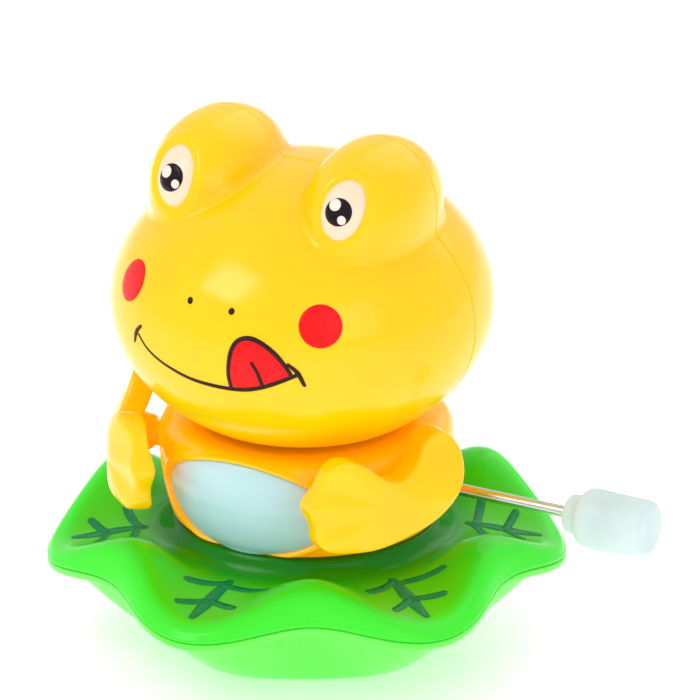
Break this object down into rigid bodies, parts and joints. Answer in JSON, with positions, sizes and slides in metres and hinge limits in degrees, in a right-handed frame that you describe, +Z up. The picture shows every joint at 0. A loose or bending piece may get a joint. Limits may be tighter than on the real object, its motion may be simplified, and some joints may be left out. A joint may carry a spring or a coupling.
{
  "type": "wind-up toy frog",
  "caption": "wind-up toy frog with domed eyes and webbed hands sitting in a round collar on a wavy leaf, winding knob on a side shaft, wheels in the leaf's underside",
  "frame": {"origin": "centre of the flat bottom of the leaf's lower shell", "axes": "+Z up, the frog faces -Y, the winding shaft leaves along +X, the frog's left side"},
  "size_m": [0.119, 0.095, 0.1031],
  "materials": {
    "leaf_green": "glossy translucent green",
    "shell_green": "glossy lighter green",
    "frog_yellow": "glossy yellow",
    "belly_blue": "glossy pale blue",
    "eye_cream": "glossy cream",
    "knob_white": "milky translucent",
    "steel": "drawn steel",
    "screw_steel": "zinc plated",
    "spring_steel": "blued spring strip",
    "case_plastic": "off-white moulding",
    "gear_nylon": "natural nylon",
    "gear_brass": "stamped brass",
    "hub_plastic": "black moulding",
    "tyre_rubber": "moulded rubber"
  },
  "bodies": {
    "base": {"leaf_top": "leaf_green", "base_bowl": "shell_green", "base_screws": "screw_steel", "body_front": "frog_yellow", "body_rear": "frog_yellow", "body_screws": "screw_steel", "belly_panel": "belly_blue", "case_left": "case_plastic", "case_right": "case_plastic", "case_pillars": "steel", "mainspring": "spring_steel", "guide_bracket": "case_plastic", "guide_pin": "steel"},
    "drive": {"drive_axle": "steel", "drive_pinion": "gear_nylon", "drive_hubs": "hub_plastic", "drive_tyres": "tyre_rubber"},
    "winder": {"winding_shaft": "steel", "winding_knob": "knob_white", "main_wheel": "gear_brass", "nod_cam": "gear_nylon"},
    "second": {"second_arbor": "steel", "second_wheel": "gear_nylon"},
    "third": {"third_arbor": "steel", "third_wheel": "gear_nylon"},
    "escape": {"escape_arbor": "steel", "escape_wheel": "gear_nylon"},
    "pallet_lever": {"pallet_arbor": "steel", "pallet": "gear_nylon"},
    "head": {"head_front": "frog_yellow", "head_rear": "frog_yellow", "head_screws": "screw_steel", "eye_insert_left": "eye_cream", "eye_insert_right": "eye_cream", "head_lever": "case_plastic", "head_pivot_pin": "steel"},
    "left_arm": {"arm_left": "frog_yellow", "arm_clip_left": "spring_steel"},
    "right_arm": {"arm_right": "frog_yellow", "arm_clip_right": "spring_steel"},
    "guide": {"guide_wheel": "hub_plastic"}
  },
  "joints": [
    {"name": "drive_turn", "type": "hinge", "parent": "base", "child": "drive", "pos_m": [0, 0.006, 0.0057], "axis": [1, 0, 0], "continuous": true},
    {"name": "winding_turn", "type": "hinge", "parent": "base", "child": "winder", "pos_m": [0, 0, 0.0348], "axis": [1, 0, 0], "continuous": true},
    {"name": "second_turn", "type": "hinge", "parent": "base", "child": "second", "pos_m": [0, 0.006, 0.02441], "axis": [1, 0, 0], "continuous": true},
    {"name": "third_turn", "type": "hinge", "parent": "base", "child": "third", "pos_m": [0, 0.00326, 0.01427], "axis": [1, 0, 0], "continuous": true},
    {"name": "escape_turn", "type": "hinge", "parent": "base", "child": "escape", "pos_m": [0, -0.0052, 0.01119], "axis": [1, 0, 0], "continuous": true},
    {"name": "pallet_swing", "type": "hinge", "parent": "base", "child": "pallet_lever", "pos_m": [0, -0.01, 0.01549], "axis": [1, 0, 0], "range_deg": [-4, 4]},
    {"name": "head_nod", "type": "hinge", "parent": "base", "child": "head", "pos_m": [0, 0, 0.058], "axis": [1, 0, 0], "range_deg": [-4, 4]},
    {"name": "left_arm_swing", "type": "hinge", "parent": "base", "child": "left_arm", "pos_m": [0, -0.0105, 0.038], "axis": [1, 0, 0], "range_deg": [-8, 8]},
    {"name": "right_arm_swing", "type": "hinge", "parent": "base", "child": "right_arm", "pos_m": [0, -0.0105, 0.038], "axis": [1, 0, 0], "range_deg": [-8, 8]},
    {"name": "guide_turn", "type": "hinge", "parent": "base", "child": "guide", "pos_m": [0, -0.0156, 0.003], "axis": [0.9397, 0.342, 0], "continuous": true}
  ],
  "couplings": [
    {"joint": "winding_turn", "follows": "drive_turn", "ratio": -0.066667},
    {"joint": "second_turn", "follows": "drive_turn", "ratio": 0.2},
    {"joint": "third_turn", "follows": "drive_turn", "ratio": -0.5},
    {"joint": "escape_turn", "follows": "drive_turn", "ratio": 1}
  ]
}
